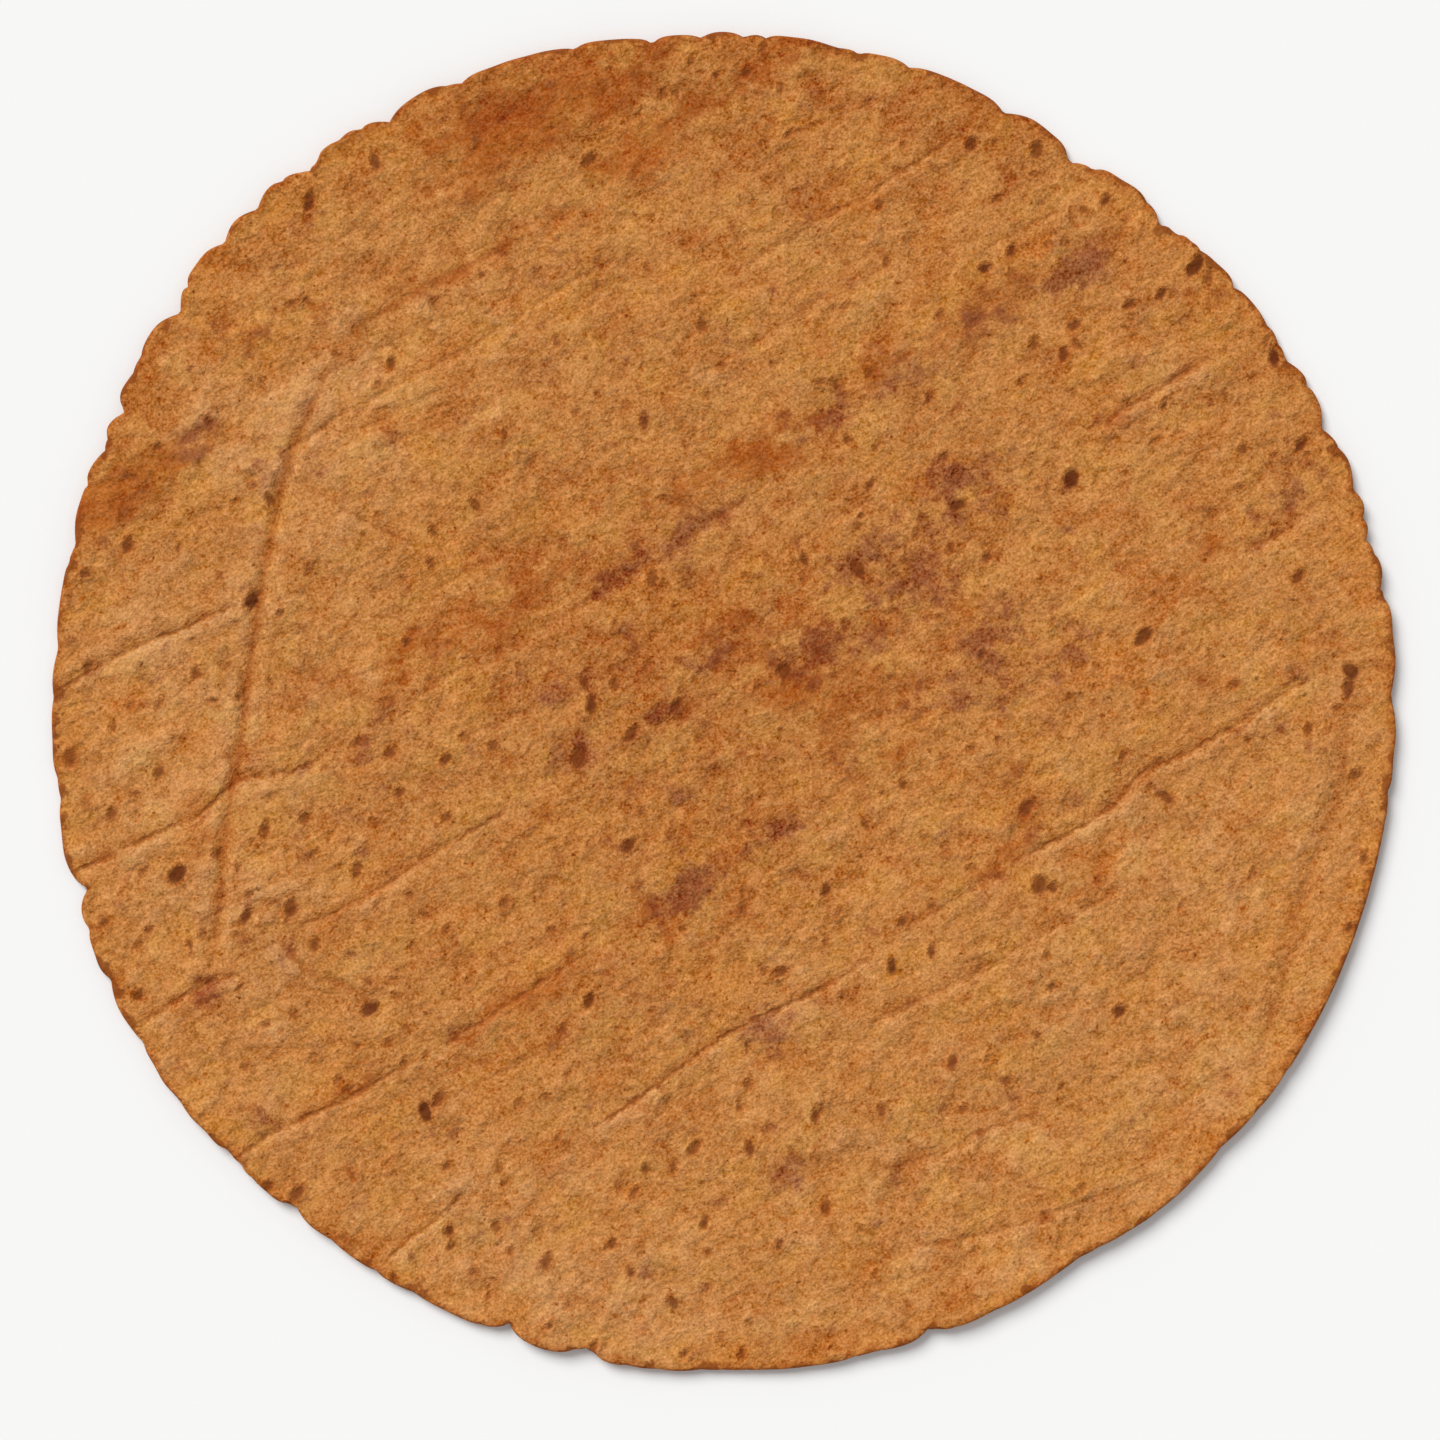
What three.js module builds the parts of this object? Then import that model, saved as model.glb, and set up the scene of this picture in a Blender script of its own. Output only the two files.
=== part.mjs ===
// A ten-inch soft wrap tortilla, lying flat. Millimetres, +Z up, the origin on the resting surface
// under the middle of the outline. It was pressed and baked as one piece, so it is one solid:
// a thin round sheet of dough, full in the middle, thinner towards a rounded rim. The underside
// is flat over the middle, and the rim lifts a little off the surface in slow waves.

import * as THREE from 'three';

// Driving dimensions, in millimetres and degrees. Angles run anticlockwise from +X.
const MEAN_RADIUS = 127.5;
const MIDDLE_THICKNESS = 2.0;
const RIM_THICKNESS = 1.3;
const RIM_BAND = 22;            // width of the band over which the sheet thins
const FLAT_RADIUS = 92;         // the underside is flat inside this radius
const RIM_LIFT = 1.2;           // how far the rim stands off the surface on average
const AROUND = 240;             // points around the outline

// Slow waves of the outline: lobes around the rim, height in mm, angle of the first crest.
const OUTLINE_WAVES = [
  [1, 0.9, 196],
  [2, 0.95, -63],
  [3, 0.7, -3],
  [4, 0.3, 105],
  [5, 0.3, -50],
  [6, 0.5, 125],
];

// Dents where the dough tore or folded at the rim as it was pressed: angle, depth, half width.
const RIM_DENTS = [
  [0.5, 0.8, 1.5], [14, 1.2, 1.3], [18.5, 1.0, 1.2], [24.5, 1.1, 1.4], [31.5, 0.5, 1.4],
  [44.5, 0.5, 1.2], [47.5, 1.8, 1.2], [57, 1.9, 2.4], [64.5, 1.3, 1.4], [80, 0.4, 2.5],
  [96, 0.7, 3.0], [113, 0.9, 1.3], [120, 1.8, 1.5], [128, 1.5, 1.4], [133.5, 1.1, 1.2],
  [137.5, 1.2, 1.2], [144.5, 2.2, 1.8], [151, 0.6, 2.0], [154.5, 1.3, 1.3], [158, 1.0, 1.2],
  [166.5, 0.7, 1.2], [175.5, 0.4, 1.4], [188.5, 0.7, 1.6], [196.5, 1.6, 1.3], [204.5, 0.9, 1.0],
  [210.5, 0.8, 1.2], [222.5, 0.4, 1.2], [230, 1.0, 1.2], [234, 0.5, 2.0], [251, 1.6, 1.3],
  [258, 1.3, 1.4], [270, 0.5, 5.0], [288, 1.1, 1.2], [302.5, 1.3, 6.0], [318, 0.7, 4.0],
];
const DENT_SHARPNESS = 1.7;     // 2 is a round dent, 1 a sharp nick

// Waves of the rim's lift: lobes around the rim, height in mm, angle of the first crest.
const LIFT_WAVES = [
  [1, 0.4, -35],
  [2, 0.4, 250],
  [3, 0.3, -30],
  [5, 0.25, 40],
];

const FACE_RINGS = [0.4, 0.72, 0.84, 0.93];   // rings of each face, as parts of the radius
const EDGE_STEPS = 4;           // steps of the half round at the rim

const radians = THREE.MathUtils.degToRad;
const turnBetween = (a, b) => THREE.MathUtils.euclideanModulo(a - b + 180, 360) - 180;
const waves = (list, angle) =>
  list.reduce((sum, [lobes, height, crest]) => sum + height * Math.cos(radians(lobes * angle - crest)), 0);

// Radius of the outline: the mean, the slow waves, less each rim dent.
function outlineRadius(angle) {
  const dents = RIM_DENTS.reduce((sum, [at, depth, half]) =>
    sum + depth * Math.exp(-(Math.abs(turnBetween(angle, at) / half) ** DENT_SHARPNESS)), 0);
  return MEAN_RADIUS + waves(OUTLINE_WAVES, angle) - dents;
}

// Height of the underside: nothing over the flat middle, then a smooth rise to the rim's lift.
function undersideHeight(radius, angle) {
  const out = Math.max(0, (radius - FLAT_RADIUS) / (MEAN_RADIUS - FLAT_RADIUS));
  return out * out * (RIM_LIFT + waves(LIFT_WAVES, angle));
}

// Thickness: full in the middle, thinning smoothly over the rim band.
function thickness(radius, rimRadius) {
  const inward = THREE.MathUtils.smoothstep(rimRadius - radius, 0, RIM_BAND);
  return RIM_THICKNESS + (MIDDLE_THICKNESS - RIM_THICKNESS) * inward;
}

// The rings that a spoke of the sheet passes through, from the middle of the top, over the
// rounded rim, to the middle of the underside. Each is a radius and a height.
function section(angle) {
  const rim = outlineRadius(angle);
  const roundness = RIM_THICKNESS / 2;
  const edgeStart = rim - roundness;
  const faces = FACE_RINGS.map((part) => part * rim).concat(edgeStart);
  const low = (radius) => undersideHeight(radius, angle);
  const top = faces.map((radius) => [radius, low(radius) + thickness(radius, edgeStart)]);
  const bottom = faces.map((radius) => [radius, low(radius)]).reverse();
  const edge = [];
  for (let step = 1; step < EDGE_STEPS; step += 1) {
    const turn = Math.PI * (0.5 - step / EDGE_STEPS);
    edge.push([
      edgeStart + roundness * Math.cos(turn),
      low(edgeStart) + roundness * (1 + Math.sin(turn)),
    ]);
  }
  return [...top, ...edge, ...bottom];
}

// The middle of the outline's box, which the sheet is moved by so that it stands centred.
function outlineMiddle(sections) {
  const box = new THREE.Box2();
  sections.forEach((rings, spoke) => {
    const angle = radians((360 * spoke) / AROUND);
    rings.forEach(([radius]) => {
      box.expandByPoint(new THREE.Vector2(radius * Math.cos(angle), radius * Math.sin(angle)));
    });
  });
  return box.getCenter(new THREE.Vector2());
}

// One closed sheet: spokes of rings joined by triangles, with a fan round each middle point.
function sheetGeometry() {
  const sections = Array.from({ length: AROUND }, (_, spoke) => section((360 * spoke) / AROUND));
  const middle = outlineMiddle(sections);
  const rings = sections[0].length;
  const positions = [0, 0, MIDDLE_THICKNESS, 0, 0, 0];
  sections.forEach((spokeRings, spoke) => {
    const angle = radians((360 * spoke) / AROUND);
    spokeRings.forEach(([radius, height]) => {
      positions.push(
        radius * Math.cos(angle) - middle.x,
        radius * Math.sin(angle) - middle.y,
        height,
      );
    });
  });
  const topPoint = 0;
  const bottomPoint = 1;
  const point = (spoke, ring) => 2 + (spoke % AROUND) * rings + ring;
  const faces = [];
  for (let spoke = 0; spoke < AROUND; spoke += 1) {
    faces.push(topPoint, point(spoke, 0), point(spoke + 1, 0));
    for (let ring = 0; ring + 1 < rings; ring += 1) {
      faces.push(point(spoke, ring), point(spoke, ring + 1), point(spoke + 1, ring + 1));
      faces.push(point(spoke, ring), point(spoke + 1, ring + 1), point(spoke + 1, ring));
    }
    faces.push(bottomPoint, point(spoke + 1, rings - 1), point(spoke, rings - 1));
  }
  const geometry = new THREE.BufferGeometry();
  geometry.setAttribute('position', new THREE.Float32BufferAttribute(positions, 3));
  geometry.setIndex(faces);
  geometry.computeVertexNormals();
  return geometry;
}

const bakedDough = new THREE.MeshStandardMaterial({ color: 0xb9773d, roughness: 0.8, metalness: 0 });
bakedDough.name = 'baked_dough';

const tortilla = new THREE.Mesh(sheetGeometry(), bakedDough);
tortilla.name = 'tortilla';

const part = new THREE.Group();
part.add(tortilla);

export default part;
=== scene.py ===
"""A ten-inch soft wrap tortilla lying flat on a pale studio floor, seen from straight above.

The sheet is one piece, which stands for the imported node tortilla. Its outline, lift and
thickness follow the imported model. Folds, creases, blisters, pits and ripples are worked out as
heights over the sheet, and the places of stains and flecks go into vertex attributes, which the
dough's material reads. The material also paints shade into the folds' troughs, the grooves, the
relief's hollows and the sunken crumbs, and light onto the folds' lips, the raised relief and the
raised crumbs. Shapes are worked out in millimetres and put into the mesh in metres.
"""

import math
from collections import namedtuple

import bpy
import numpy as np
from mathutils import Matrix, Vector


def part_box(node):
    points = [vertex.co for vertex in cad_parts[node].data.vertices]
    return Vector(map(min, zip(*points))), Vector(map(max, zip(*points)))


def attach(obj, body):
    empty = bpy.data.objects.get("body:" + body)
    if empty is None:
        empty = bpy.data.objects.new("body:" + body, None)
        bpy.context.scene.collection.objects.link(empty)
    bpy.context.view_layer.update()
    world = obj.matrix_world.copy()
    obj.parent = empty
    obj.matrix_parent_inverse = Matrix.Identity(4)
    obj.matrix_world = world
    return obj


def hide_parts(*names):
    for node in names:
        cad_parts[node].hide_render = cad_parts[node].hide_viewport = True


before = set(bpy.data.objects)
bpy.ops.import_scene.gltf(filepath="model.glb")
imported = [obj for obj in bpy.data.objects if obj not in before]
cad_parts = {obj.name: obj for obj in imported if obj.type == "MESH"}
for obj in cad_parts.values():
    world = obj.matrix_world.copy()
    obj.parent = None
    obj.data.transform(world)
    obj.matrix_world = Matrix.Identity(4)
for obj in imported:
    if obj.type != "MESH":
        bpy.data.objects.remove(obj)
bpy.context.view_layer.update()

MM = 0.001

# ---------------------------------------------------------------- the sheet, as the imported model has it

MEAN_RADIUS = 127.5
MIDDLE_THICKNESS = 2.0
RIM_THICKNESS = 1.3
RIM_ROUNDNESS = RIM_THICKNESS / 2
RIM_BAND = 22.0
FLAT_RADIUS = 92.0
RIM_LIFT = 1.2
DENT_SHARPNESS = 1.7
NOTCH_DEPTH = 0.4       # the torn notch in the middle of a dent, as a part of the dent's depth
NOTCH_WIDTH = 0.3       # and as a part of its width

# Slow waves: lobes around the rim, height in mm, angle of the first crest in degrees.
OUTLINE_WAVES = [
    (1, 0.9, 196), (2, 0.95, -63), (3, 0.7, -3), (4, 0.3, 105), (5, 0.3, -50), (6, 0.5, 125),
]
LIFT_WAVES = [(1, 0.4, -35), (2, 0.4, 250), (3, 0.3, -30), (5, 0.25, 40)]

# Dents in the rim: angle in degrees, depth in mm, half width in degrees.
RIM_DENTS = [
    (0.5, 0.8, 1.5), (14, 1.2, 1.3), (18.5, 1.0, 1.2), (24.5, 1.1, 1.4), (31.5, 0.5, 1.4),
    (44.5, 0.5, 1.2), (47.5, 1.8, 1.2), (57, 1.9, 2.4), (64.5, 1.3, 1.4), (80, 0.4, 2.5),
    (96, 0.7, 3.0), (113, 0.9, 1.3), (120, 1.8, 1.5), (128, 1.5, 1.4), (133.5, 1.1, 1.2),
    (137.5, 1.2, 1.2), (144.5, 2.2, 1.8), (151, 0.6, 2.0), (154.5, 1.3, 1.3), (158, 1.0, 1.2),
    (166.5, 0.7, 1.2), (175.5, 0.4, 1.4), (188.5, 0.7, 1.6), (196.5, 1.6, 1.3), (204.5, 0.9, 1.0),
    (210.5, 0.8, 1.2), (222.5, 0.4, 1.2), (230, 1.0, 1.2), (234, 0.5, 2.0), (251, 1.6, 1.3),
    (258, 1.3, 1.4), (270, 0.5, 5.0), (288, 1.1, 1.2), (302.5, 1.3, 6.0), (318, 0.7, 4.0),
]

# ---------------------------------------------------------------- what the baking and folding left on it

GRAIN_TURN = 29.0       # the sheet was rolled along this direction, in degrees from +X
TOP_CELLS = 270         # grid cells across the top face; the underside has half as many
EDGE_STEPS = 5          # steps of the rounded rim
UNDERSIDE_TURN = 205.0  # the underside has the top's marks, mirrored and turned by this many degrees

# A fold or crease: points along it in mm, depth of its trough, height of the lip on its right-hand
# side, how strongly it is browned and painted with shade along its trough, and a fold also with a
# highlight on its lip, and half width of its trough.
Fold = namedtuple("Fold", "points depth lip stain width", defaults=[0.95])

FOLDS = [
    Fold([(-131, 0), (-125.7, 2.2), (-112.4, 9.8), (-101, 14.5), (-90.6, 19.2)], 0.42, 0.28, 1.0),
    Fold([(-128, -34.5), (-121.9, -31.9), (-105.8, -24.4), (-99.1, -21.5), (-91.6, -14.9),
          (-80.2, -13.0), (-72.6, -7.3)], 0.50, 0.32, 1.1, 1.5),
    Fold([(-72.6, -7.3), (-60, -1), (-53.5, 4.1), (-39.6, 11.1), (-19.5, 22.5), (-0.6, 34.6), (14, 46)],
         0.24, 0.16, 0.45, 1.2),
    Fold([(-83.0, -44.3), (-69.8, -38.2), (-55, -29), (-38, -19)], 0.34, 0.20, 0.8),
    Fold([(-118, -66), (-108, -59.5), (-98.5, -54), (-90, -51)], 0.45, 0.32, 0.9),
    Fold([(-98, -91), (-92.5, -86.9), (-85.9, -82.2), (-71.6, -75.5), (-60, -69), (-48.0, -62.3),
          (-34, -53), (-23.3, -46.2)], 0.38, 0.24, 1.0),
    Fold([(-104, -92), (-100, -86), (-97, -82)], 0.26, 0.16, 0.8),
    Fold([(-28, -82.5), (-20.5, -78.4), (-10, -71), (-0.6, -64.2), (9, -59), (20.3, -53.7), (29.8, -47.1)],
         0.38, 0.24, 0.9),
    Fold([(52.5, -31.9), (66.7, -24.4), (74.3, -19.6), (79.0, -13.9), (87.6, -10.1), (96.1, -5.4),
          (105, 0.5), (115.1, 6.9)], 0.45, 0.30, 1.15),
    Fold([(29.8, -47.1), (41, -39.5), (52.5, -33)], 0.22, 0.16, 0.5),
    Fold([(67.3, 50.3), (73.4, 53.7), (82.1, 59.0), (94.2, 66.1)], 0.42, 0.45, 0.8),
    Fold([(75.3, 55.3), (80, 57), (84.7, 54.3)], 0.18, 0.30, 0.1),
    Fold([(98, 28), (106, 32), (112, 37)], 0.24, 0.18, 0.7),
    Fold([(-2, 79), (16.9, 90.3), (28.1, 96.4), (38.5, 103.4), (45.5, 107.8)], 0.26, 0.18, 0.6),
    Fold([(-64.1, -106.8), (-60.5, -102.5), (-54.6, -98.3), (-49, -93)], 0.34, 0.22, 0.95),
    Fold([(-83, 43), (-66, 33), (-52, 27)], 0.18, 0.12, 0.45),
    Fold([(26, -62), (47, -52), (66, -41), (79, -33.5)], 0.20, 0.14, 0.5),
    Fold([(-90, 42), (-76, 52), (-62, 60), (-45, 69), (-28, 80), (-14, 86)], 0.20, 0.16, 0.5),
    Fold([(-12, 58), (6, 68), (22, 79)], 0.16, 0.12, 0.4),
    Fold([(57, 14), (74, 24), (92, 34), (106, 45)], 0.16, 0.12, 0.35),
    Fold([(-62, -80), (-47, -73), (-33, -66)], 0.16, 0.12, 0.4),
    Fold([(28, -90), (40, -86), (52, -80.5), (62, -78.5)], 0.2, 0.2, 0.6),
    Fold([(34, -104), (50, -101), (68, -95), (78, -92)], 0.2, 0.2, 0.5),
]

# Soft grooves that cross the grain: a long fold down the left, the curled crack that leaves it, and
# the bend where the rim turns up on the right.
GROOVES = [
    Fold([(-71.6, 69.5), (-78, 56), (-83.0, 43.9), (-87.4, 23.0), (-89.7, 7.9), (-91.6, -8.2),
          (-93.8, -20.6), (-96.7, -47.1), (-98.2, -54)], 0.48, 0.30, 1.0, 1.4),
    Fold([(-38.5, 87.5), (-57.4, 78.0), (-71.6, 69.5)], 0.22, 0.12, 0.9, 2.0),
    Fold([(-84.5, -43), (-83.4, -46.2), (-78.3, -51.8), (-72.6, -53.7), (-66, -58)], 0.34, 0.2, 0.9, 0.8),
    Fold([(118.8, 0.3), (117.6, -10), (116.0, -18.7), (109.4, -37.6), (105.6, -54.7), (100.8, -69.8)],
         0.50, 0.50, 0.4, 3.0),
    Fold([(-28, 60), (-35, 48), (-41, 30)], 0.14, 0.08, 0.3, 2.0),
]

# How many of each mark stand at random, besides the ones that are listed, and how large they
# are: the least and greatest size, in mm unless a line says otherwise.
FAINT_FOLDS = 64                    # short faint folds along the grain
FAINT_FOLD_LENGTH = (8, 46)
FAINT_FOLD_DEPTH = (0.04, 0.11)
FAINT_FOLD_LIP = (0.04, 0.10)
FAINT_FOLD_STAIN_AND_SHADE = (0.1, 0.4)       # how strongly it is browned and painted with shade and highlight
FAINT_FOLD_BEND = 0.9               # how far its points stray to the side
FAINT_FOLD_MARGINS = (9.5, 3.5)     # how far inside the mean radius its middle and its ends stay
MARK_MARGIN = 5.5                   # how far inside the mean radius the other marks stay
OTHER_FLECKS = 150
OTHER_FLECK_RADIUS = (0.45, 0.8)
FLECK_PIT = 0.16                    # depth of the pit that a fleck sits in, as a part of its radius
FLECK_BOX = 6                       # half width of the square round a fleck that is worked out
BLISTERS = 260
BLISTER_RADIUS = (1.6, 4.2)
BLISTER_RISE = (0.03, 0.075)        # as a part of its radius
BLISTER_ROUNDNESS = 1.3
NICKS = 80                          # small nicks of the rim
NICK_DEPTH = (0.2, 1.1)
NICK_HALF_WIDTH = (0.3, 0.9)        # in degrees
NICK_SHARPNESS = 1.2
FRAY = 0.03                         # height of each of the rim's finest waves
FRAY_WAVES = 10
FRAY_LOBES = (40, 120)              # around the rim
SMOOTH_RIM = -50                    # the direction in which the rim is smooth, in degrees

# Slow undulations of the whole limp sheet: rise and length in mm, and seed. They are drawn out along
# the grain, and raised by a little, so that less of the sheet lies at its lowest.
UNDULATIONS = [(0.30, 62.0, 7), (0.10, 24.0, 8)]
UNDULATION_STRETCH = 1.6
UNDULATION_RAISE = 0.25

# The relief is weaker near the rim and on the underside.
SETTLE_BAND = 5.0       # how far in from the rim the relief is whole, in mm
TOP_RIM_RELIEF = 0.35   # the part of the top's relief that is left at the rim
UNDER_RELIEF = 0.5      # the part of the relief that the underside has, which fades to none at the rim

# Ripples of the face: rise and length in mm, seed, and how far they are drawn out along the grain.
RIPPLES = [(0.10, 13.0, 2, 1.3), (0.062, 6.5, 3, 1.1), (0.042, 3.6, 4, 1.0)]
CRUMPLE_DEPTH = 0.06    # depth of the short crinkles, in mm

FOLD_REACH = 5.0        # how far from a fold its lips are felt, in mm
STAIN_AND_SHADE_REACH = 3.2       # how far from a fold its browning, painted shade and painted highlight are felt, in mm
FOLD_TAPER = 0.12       # the part of a fold's length over which it fades at each end
LIP_PLACE = 1.9         # how far a lip stands from its fold, in half widths of the trough
LIP_WIDTH = 1.5         # half width of a lip, in half widths of the trough
LEFT_LIP = 3            # how many times lower the left lip is than the right
FLECK_REACH = 3.0       # how far from a fleck's edge it is felt, in mm
PALER_DOWNWARDS = 0.0010    # how much paler the dough grows for each mm towards -Y

# Brown herb flecks and charred spots: place and radius in mm.
FLECKS = [
    # Left of the long groove, and along it.
    (-113, 29.5, 1.3), (-121, 24, 0.9), (-86, 38, 0.9), (-78.5, 25, 0.8), (-89.5, 19, 1.4),
    (-84, 16.5, 0.8), (-120.5, 6.5, 1.1), (-100, 5, 1.0), (-94.5, 6.5, 0.9), (-91.5, 1, 0.9),
    (-107, -0.5, 0.7),
    (-112.5, -1, 0.7), (-86, 3.5, 0.6), (-107, -13.5, 1.1), (-124, -11, 1.3), (-116, -21.5, 1.1),
    (-103.5, -33, 1.7), (-110, -32.5, 0.7), (-96, -29, 1.0), (-117.5, -42, 0.9), (-114, -36.5, 0.6),
    (-99, -44, 1.0), (-101, -46.5, 0.8), (-90.5, -41, 1.2), (-92, -44.5, 0.8), (-109, -43.5, 0.9),
    (-111, -46.5, 0.8), (-90, -37, 0.7), (-91.5, -54, 0.7), (-111, -56, 1.0),
    # Between the groove and the middle.
    (-55.5, 26, 1.0), (-60, 11, 0.8), (-69.5, -8, 0.9), (-63, -10, 1.0), (-52.5, -11, 1.1),
    (-61.5, -17.5, 1.0), (-79.5, -22.5, 1.0), (-87, -24.5, 1.1), (-52.5, -22.5, 0.7), (-78, -29, 0.8),
    (-69.5, -32, 1.2), (-82, -39.5, 1.5), (-59.5, -37, 0.8), (-52.5, -43.5, 0.7), (-59, -46.5, 0.6),
    (-67.5, -53.5, 0.9), (-77.5, -46.5, 1.0), (-81.5, -47.5, 0.8), (-41.5, -38.5, 1.0), (-43.5, -8.5, 1.0),
    (-47, 37, 0.9), (-55, 32, 0.9), (-41.5, 50.5, 0.6), (-28, 54.5, 0.6),
    # The lower left and the bottom.
    (-87, -61.5, 0.8), (-90.5, -69.5, 0.8), (-81.5, -59.5, 0.7), (-67, -58.5, 1.5), (-63.5, -65, 0.9),
    (-73, -72, 0.7), (-71, -73.5, 0.8), (-56.5, -78, 1.5), (-54, -75.5, 1.2), (-60.5, -68.5, 0.6),
    (-30.5, -62.5, 0.9), (-25.5, -57, 1.2), (4.5, -66, 0.8), (-29.5, -84.5, 0.6), (-31.5, -83, 0.7),
    (-5.5, -85, 1.2), (-9.5, -88.5, 0.9), (-14.5, -89, 0.8), (-17, -93.5, 0.9), (-42.5, -88.5, 0.8),
    (-52.5, -88.5, 0.7), (-63.5, -87.5, 0.7), (5, -85, 1.1), (-43, -100, 0.9), (-52, -100.5, 1.0),
    (-51.5, -103.5, 0.8), (-59, -105.5, 0.7), (-47.5, -108.5, 0.7), (-33.5, -106, 1.1), (-21, -103, 0.9),
    (-17.5, -108.5, 1.0), (-3.5, -99, 0.9), (-9.5, -114.5, 1.1), (-24.5, -122.5, 0.9), (-29.5, -114.5, 0.6),
    (-33, -118.5, 0.7), (-44.5, -113, 0.6), (-7.5, -124, 0.8), (3.5, -124, 0.8), (-2.5, -111, 0.6),
    (-86, -92, 0.8), (-81, -93.5, 1.3), (-72, -102, 0.8), (-62.5, -109.5, 0.8), (10.5, -103, 1.0),
    (19.5, -96, 1.0), (17.5, -79, 1.1), (30, -78, 1.0),
    # The middle.
    (-13.5, 23, 1.2), (-20.5, 14.5, 0.8), (-26.5, 3.5, 1.0), (-20.5, 3, 1.0), (-25, -1, 1.3),
    (-17.5, -6.5, 1.3), (-9, -1, 1.0), (-4.5, -7.5, 0.6), (-27.5, -11, 1.7), (11.5, 5.5, 1.3),
    (6.5, 3, 0.7),
    (25.5, 25, 1.4), (15.5, 26.5, 0.9), (34, -16, 0.8), (30, -17.5, 0.6), (27, -23.5, 0.8),
    (-15.5, -21, 0.7), (-18, -27.5, 1.3), (4, -36, 0.7), (19.5, -36, 1.1), (19.5, -45.5, 0.7),
    (34, -42, 1.0), (11, -51.5, 1.1), (32, -50.5, 1.1), (28, 41, 0.8), (34.5, 26.5, 0.7), (-15, 53, 1.0),
    (-7, 48, 0.6), (23.5, 49.5, 0.8),
    # The right.
    (43, 28.5, 0.8), (50, 27, 0.9), (44.5, 37, 1.2), (66, 42, 1.6), (79.5, 12, 1.6), (49, 8.5, 0.6),
    (52, -7.5, 0.6), (47, -9, 0.7), (65.5, 0.5, 0.6), (97, 3, 0.9), (57.5, -20.5, 1.3), (84, -18.5, 1.2),
    (111, -5.5, 0.9), (120, -14, 1.0), (93, -10.5, 0.6), (99.5, -7.5, 0.6), (76, -10.5, 0.7),
    (119, 5.5, 1.5), (118.5, 2, 1.4), (60, -35, 1.6), (62.5, -35.5, 1.0), (100.5, -33, 0.8),
    (87, -39, 0.6), (39.5, -47.5, 1.0), (52.5, -46, 0.6), (39.5, -39, 0.8), (62, -54.5, 0.8),
    (59.5, -63.5, 0.7), (75, -59, 1.2), (43.5, -68.5, 1.0), (50, -68, 0.6), (88, -65.5, 0.6),
    (54, -72, 0.8), (64, -73.5, 0.6), (45.5, -77.5, 0.8), (118.5, -43, 0.9), (121.5, -30, 0.9),
    (109, 23.5, 1.1), (68, -92.5, 0.8),
    # The upper right and the top.
    (47, 105.5, 1.2), (59.5, 104.5, 1.4), (49.5, 82, 1.2), (54.5, 85, 1.0), (41, 73, 0.8), (67, 76.5, 0.5),
    (72.5, 95, 1.0), (65, 87, 0.7), (77, 75, 0.9), (83, 77, 1.0), (89.5, 82.5, 1.7), (92, 80, 1.1),
    (66.5, 71, 1.1), (59, 67.5, 1.0), (64.5, 65.5, 1.1), (56.5, 60.5, 0.6), (39, 57.5, 0.8),
    (83.5, 56, 0.9), (92.5, 56.5, 0.7), (103, 68, 0.8), (104.5, 65, 1.3), (98.5, 47.5, 0.9),
    (107, 49, 0.6), (109.5, 48.5, 1.1), (109.5, 45, 0.5), (116, 46, 0.6), (-66, 102, 1.2),
    (-78.5, 94.5, 1.2), (-25.5, 102.5, 1.3), (-11.5, 115, 0.8), (-9, 115, 0.8), (-1.5, 118.5, 0.7),
    (4.5, 119, 0.8), (7.5, 123.5, 0.8), (12.5, 107.5, 0.7), (17, 125, 0.6), (22, 123, 0.6), (-63, 64, 0.9),
    (-65.5, 60, 0.8), (-31.5, 68, 0.7), (-24, 79, 0.8), (-14.5, 82, 0.6), (-4, 71, 1.1), (10, 92.5, 0.6),
    (29.5, 94, 0.9), (31, 83, 0.8), (29, 48, 0.7),
]

# Stains: place, length and width in mm along and across the grain, and strength.
PURPLE_STAINS = [
    (-7.5, -35.5, 8, 3.4, 1.5), (-27.1, -10.1, 8, 4, 1.0), (11.0, -25.2, 5, 3, 1.3),
    (-19.0, -28.1, 6, 4, 0.9), (-30.9, 2.2, 8, 5, 0.8), (-4.5, 7.2, 7, 3, 1.1),
    (10.8, 6.0, 9, 5, 0.8), (21.2, 9.0, 8, 5, 1.1), (26.0, 26.3, 7, 6, 1.0),
    (39.2, 20.2, 12, 7, 0.9), (50.6, 12.7, 10, 5, 0.9), (64.5, 9.2, 8, 4, 1.1),
    (47.0, 41.5, 9, 8, 1.1), (33.3, 60.4, 8, 3, 1.2), (19.5, 53.8, 8, 3, 1.1),
    (48.7, 72.3, 10, 3.5, 0.8), (65.4, 80.9, 10, 3, 0.8), (68, 82.5, 7, 5, 0.8),
    (-10.9, 29.9, 10, 3, 1.0), (-22, 22, 7, 3, 0.7), (-2, 36, 8, 3, 0.6), (-88.0, -42.2, 9, 8, 0.6),
    (-72.6, -14.9, 12, 6, 0.4), (12.3, -88.7, 5, 4, 0.9), (-34.7, 113.1, 6, 4, 0.7),
    (-101, 49.5, 7, 3, 1.1), (-83, 80, 7, 5, 0.4), (-16, -62, 10, 4, 0.3),
    (9.8, -61, 9, 3, 0.9), (105, 36, 9, 5, 0.9), (88, 78, 7, 6, 0.4), (-12, -3.5, 4, 3, 0.9),
    (-6, -9, 4, 3, 0.8),
    (58.6, -27, 8, 3, 0.6), (38, -2, 12, 7, 0.3), (-63, -5, 9, 4, 0.4), (84, 71, 9, 6, 0.3),
    (-110, 8, 9, 3, 0.4), (33, 34, 8, 7, 0.5), (-100, -55, 10, 4, 0.5), (47, 4, 8, 4, 0.7),
    (-7.5, -18, 6, 4, 0.4), (-84, 44, 7, 4, 0.4),
]

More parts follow.
